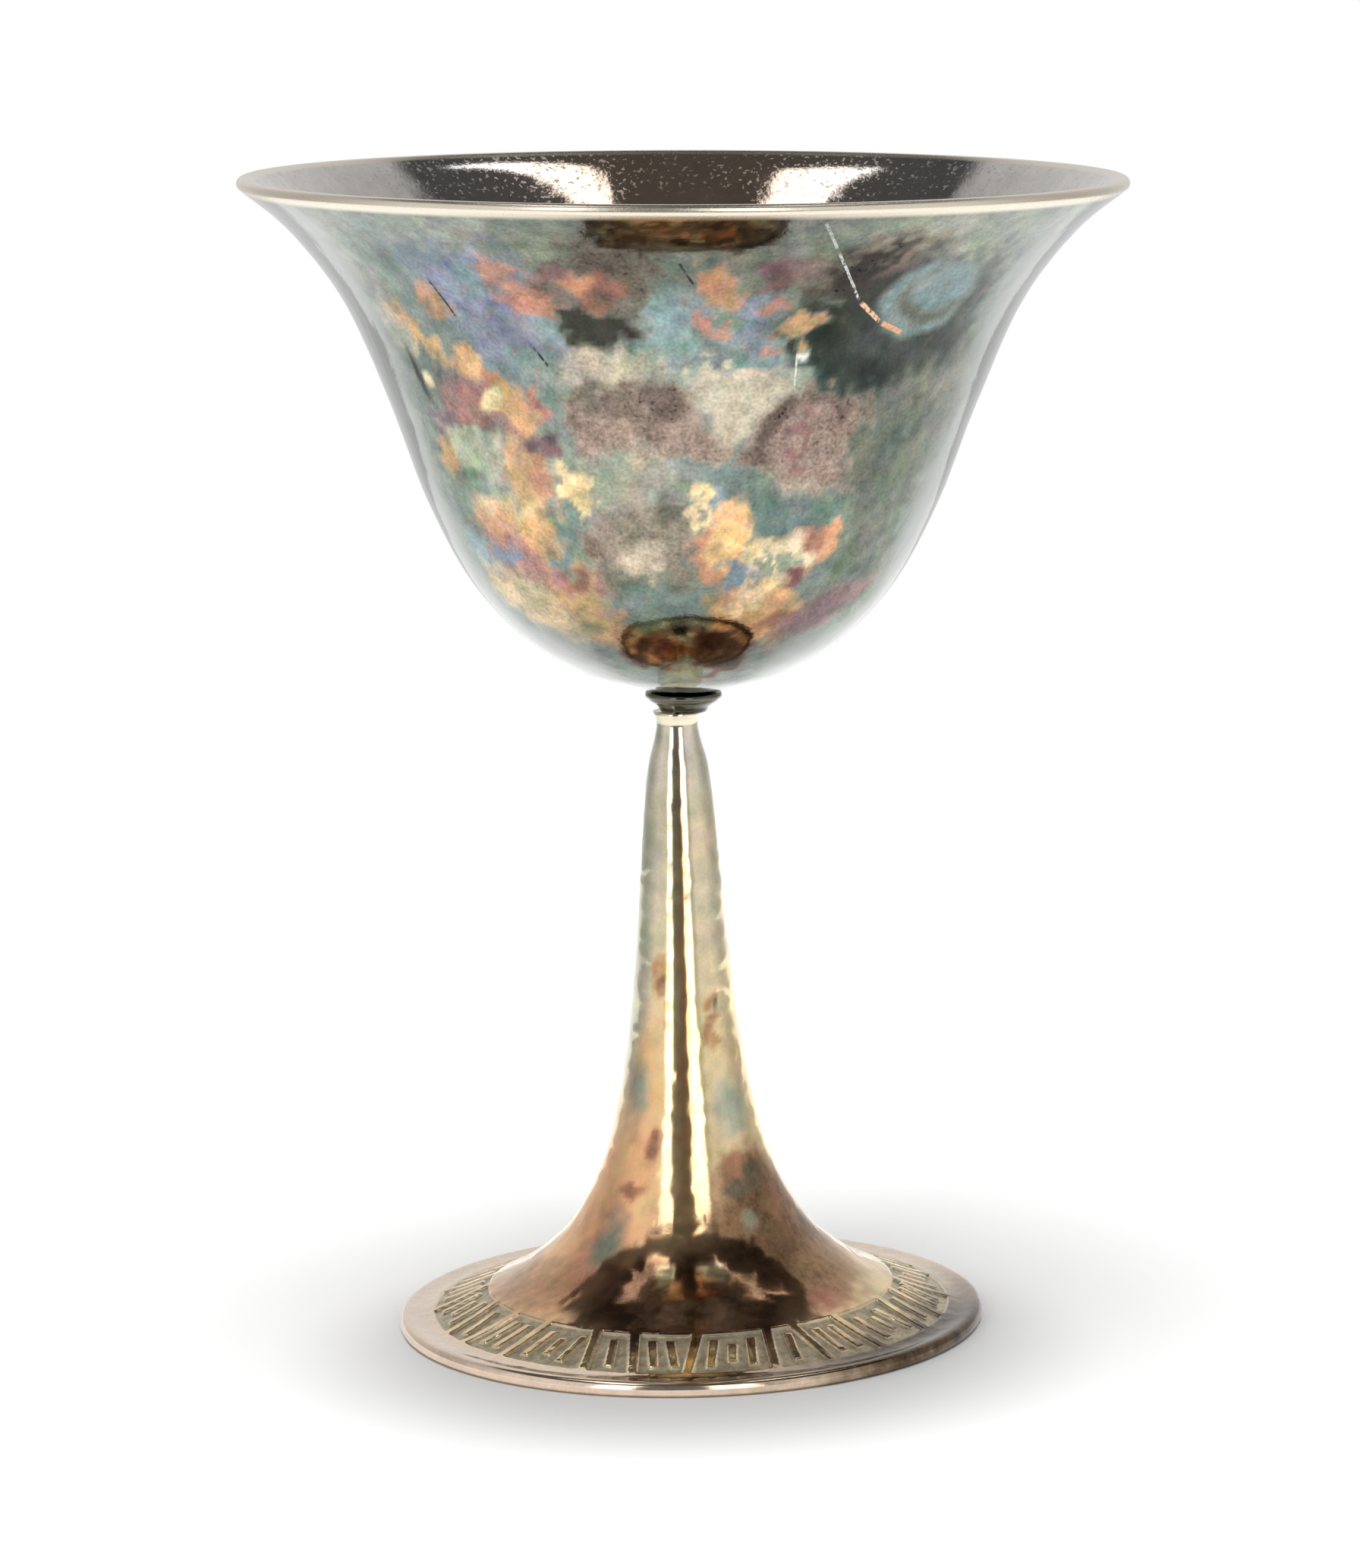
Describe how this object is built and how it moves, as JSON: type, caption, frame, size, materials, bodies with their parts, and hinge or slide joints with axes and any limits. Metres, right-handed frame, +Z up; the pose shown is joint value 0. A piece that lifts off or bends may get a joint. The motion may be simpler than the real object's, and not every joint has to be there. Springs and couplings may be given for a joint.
{
  "type": "silver goblet",
  "caption": "Hand-raised silver goblet: flared bell bowl on a small collar and a slender hollow trumpet stem that spreads into a round foot with a carved band; stands by itself and holds drink.",
  "frame": {"origin": "on the ground, at the middle of the whole goblet's footprint, which is under the middle of the rim", "axes": "+Z up from the foot to the rim; the front of the picture is the -Y side and +X is to its right; the bowl leans 1.3 degrees to +X, so the foot's own middle is 2.7 mm to -X"},
  "size_m": [0.1249, 0.125, 0.1664],
  "materials": {
    "bowl_silver": "hand-hammered sterling silver, polished long ago, with patches of gold, copper, blue and dark brown tarnish",
    "collar_silver": "polished sterling silver with yellow-brown tarnish in the hollow",
    "foot_silver": "hand-hammered sterling silver with yellow and copper tarnish, and matted pale panels in the carved band"
  },
  "bodies": {
    "root": {"bowl": "bowl_silver", "collar": "collar_silver", "trumpet_foot": "foot_silver"}
  },
  "joints": []
}
